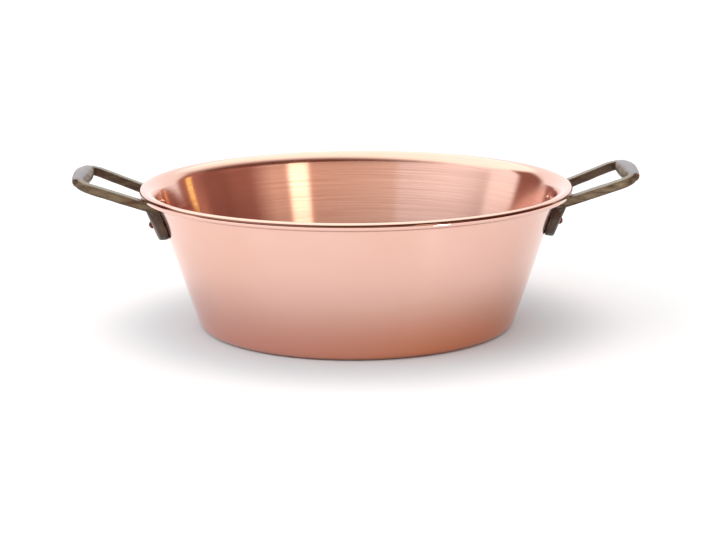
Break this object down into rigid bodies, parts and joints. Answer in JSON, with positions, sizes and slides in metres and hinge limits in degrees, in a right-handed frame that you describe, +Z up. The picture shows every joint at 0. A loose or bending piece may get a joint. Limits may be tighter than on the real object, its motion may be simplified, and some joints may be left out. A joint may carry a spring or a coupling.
{
  "type": "jam pan",
  "caption": "Wide open copper preserving pan with sloping wall, rolled rim and two riveted cast side handles.",
  "frame": {"origin": "centre of the flat base, on the surface that the pan stands on", "axes": "+Z up along the pan's axis; the two handles lie on +X and -X; -Y faces the picture's camera"},
  "size_m": [0.4964, 0.38, 0.1404],
  "materials": {
    "copper": "brushed copper, turned around the pan's axis",
    "cast_iron": "dark brown cast surface with worn edges",
    "copper_rivet": "hammered copper"
  },
  "bodies": {
    "root": {"pan_body": "copper", "left_handle": "cast_iron", "right_handle": "cast_iron", "left_front_rivet": "copper_rivet", "left_back_rivet": "copper_rivet", "left_lower_rivet": "copper_rivet", "right_front_rivet": "copper_rivet", "right_back_rivet": "copper_rivet", "right_lower_rivet": "copper_rivet"}
  },
  "joints": []
}
